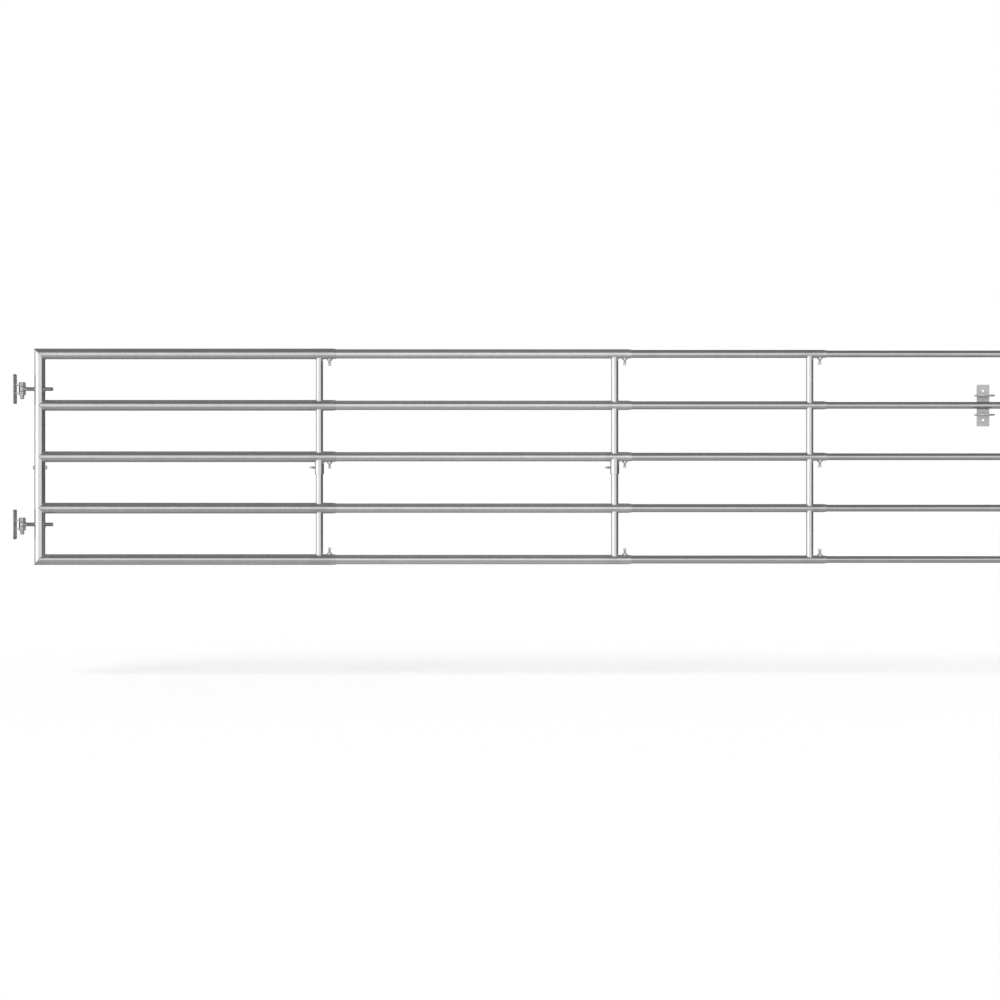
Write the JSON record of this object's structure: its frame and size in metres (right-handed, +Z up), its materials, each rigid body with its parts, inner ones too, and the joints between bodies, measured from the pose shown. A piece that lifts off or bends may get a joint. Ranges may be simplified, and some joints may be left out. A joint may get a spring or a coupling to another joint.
{
  "type": "field gate",
  "caption": "Telescoping tubular field gate on eye-bolt hinges, with set bolts that clamp its sliding sections and a keep that holds a rail at the far post.",
  "frame": {"origin": "middle of the lower hinge plate, on the face that lies on the gatepost", "axes": "+X along the gate from its hinges, +Z up, +Y through the gate, away from the side it opens to"},
  "size_m": [4.1623, 0.0765, 0.9],
  "materials": {
    "galvanised_tube": "galvanised",
    "zinc_plate": "galvanised",
    "zinc_bolt": "zinc plated"
  },
  "bodies": {
    "hinge_brackets": {"lower_hinge_plate": "zinc_plate", "lower_hinge_lugs": "zinc_plate", "lower_hinge_pin": "zinc_bolt", "upper_hinge_plate": "zinc_plate", "upper_hinge_lugs": "zinc_plate", "upper_hinge_pin": "zinc_bolt"},
    "first_section": {"first_rail_1": "galvanised_tube", "first_rail_2": "galvanised_tube", "first_rail_3": "galvanised_tube", "first_rail_4": "galvanised_tube", "first_rail_5": "galvanised_tube", "hinge_stile_upper": "galvanised_tube", "hinge_stile_lower": "galvanised_tube", "stile_spigot": "galvanised_tube", "stile_bolt": "zinc_bolt", "stile_nut": "zinc_bolt", "hinge_bushes": "galvanised_tube", "lower_eye_bolt": "zinc_bolt", "upper_eye_bolt": "zinc_bolt", "first_brace_upper": "galvanised_tube", "first_brace_lower": "galvanised_tube", "first_sleeve": "galvanised_tube", "first_sleeve_bolt": "zinc_bolt", "first_weld_nuts": "zinc_bolt"},
    "second_section": {"second_rail_1": "galvanised_tube", "second_rail_2": "galvanised_tube", "second_rail_3": "galvanised_tube", "second_rail_4": "galvanised_tube", "second_rail_5": "galvanised_tube", "second_brace_upper": "galvanised_tube", "second_brace_lower": "galvanised_tube", "second_sleeve": "galvanised_tube", "second_sleeve_bolt": "zinc_bolt", "second_weld_nuts": "zinc_bolt"},
    "third_section": {"third_rail_1": "galvanised_tube", "third_rail_2": "galvanised_tube", "third_rail_3": "galvanised_tube", "third_rail_4": "galvanised_tube", "third_rail_5": "galvanised_tube", "third_brace": "galvanised_tube", "third_weld_nuts": "zinc_bolt"},
    "end_section": {"end_rail_1": "galvanised_tube", "end_rail_2": "galvanised_tube", "end_rail_3": "galvanised_tube", "end_rail_4": "galvanised_tube", "end_rail_5": "galvanised_tube", "end_stile": "galvanised_tube"},
    "keep": {"keep_plate": "zinc_plate", "keep_lugs": "zinc_plate"},
    "first_bolt_top": {"first_set_bolt_top": "zinc_bolt"},
    "first_bolt_middle": {"first_set_bolt_middle": "zinc_bolt"},
    "first_bolt_bottom": {"first_set_bolt_bottom": "zinc_bolt"},
    "second_bolt_top": {"second_set_bolt_top": "zinc_bolt"},
    "second_bolt_middle": {"second_set_bolt_middle": "zinc_bolt"},
    "second_bolt_bottom": {"second_set_bolt_bottom": "zinc_bolt"},
    "third_bolt_top": {"third_set_bolt_top": "zinc_bolt"},
    "third_bolt_middle": {"third_set_bolt_middle": "zinc_bolt"},
    "third_bolt_bottom": {"third_set_bolt_bottom": "zinc_bolt"}
  },
  "joints": [
    {"name": "gate_swing", "type": "hinge", "parent": "hinge_brackets", "child": "first_section", "pos_m": [0.033, 0, 0], "axis": [0, 0, -1], "range_deg": [0, 95]},
    {"name": "second_section_slide", "type": "slide", "parent": "first_section", "child": "second_section", "axis": [1, 0, 0], "range_m": [-1.13, 0]},
    {"name": "third_section_slide", "type": "slide", "parent": "second_section", "child": "third_section", "axis": [1, 0, 0], "range_m": [-0.72, 0]},
    {"name": "end_section_slide", "type": "slide", "parent": "third_section", "child": "end_section", "axis": [1, 0, 0], "range_m": [-0.61, 0]},
    {"name": "keep_stays", "type": "hinge", "parent": "end_section", "child": "keep", "pos_m": [0.033, 0, 0], "axis": [0, 0, -1], "range_deg": [-95, 0]},
    {"name": "first_top_bolt_out", "type": "slide", "parent": "first_section", "child": "first_bolt_top", "axis": [0, 0, -1], "range_m": [0, 0.008]},
    {"name": "first_middle_bolt_out", "type": "slide", "parent": "first_section", "child": "first_bolt_middle", "axis": [0, 0, -1], "range_m": [0, 0.008]},
    {"name": "first_bottom_bolt_out", "type": "slide", "parent": "first_section", "child": "first_bolt_bottom", "axis": [0, 0, 1], "range_m": [0, 0.008]},
    {"name": "second_top_bolt_out", "type": "slide", "parent": "second_section", "child": "second_bolt_top", "axis": [0, 0, -1], "range_m": [0, 0.008]},
    {"name": "second_middle_bolt_out", "type": "slide", "parent": "second_section", "child": "second_bolt_middle", "axis": [0, 0, -1], "range_m": [0, 0.008]},
    {"name": "second_bottom_bolt_out", "type": "slide", "parent": "second_section", "child": "second_bolt_bottom", "axis": [0, 0, 1], "range_m": [0, 0.008]},
    {"name": "third_top_bolt_out", "type": "slide", "parent": "third_section", "child": "third_bolt_top", "axis": [0, 0, -1], "range_m": [0, 0.008]},
    {"name": "third_middle_bolt_out", "type": "slide", "parent": "third_section", "child": "third_bolt_middle", "axis": [0, 0, -1], "range_m": [0, 0.008]},
    {"name": "third_bottom_bolt_out", "type": "slide", "parent": "third_section", "child": "third_bolt_bottom", "axis": [0, 0, 1], "range_m": [0, 0.008]}
  ],
  "couplings": [
    {"joint": "keep_stays", "follows": "gate_swing", "ratio": -1}
  ]
}
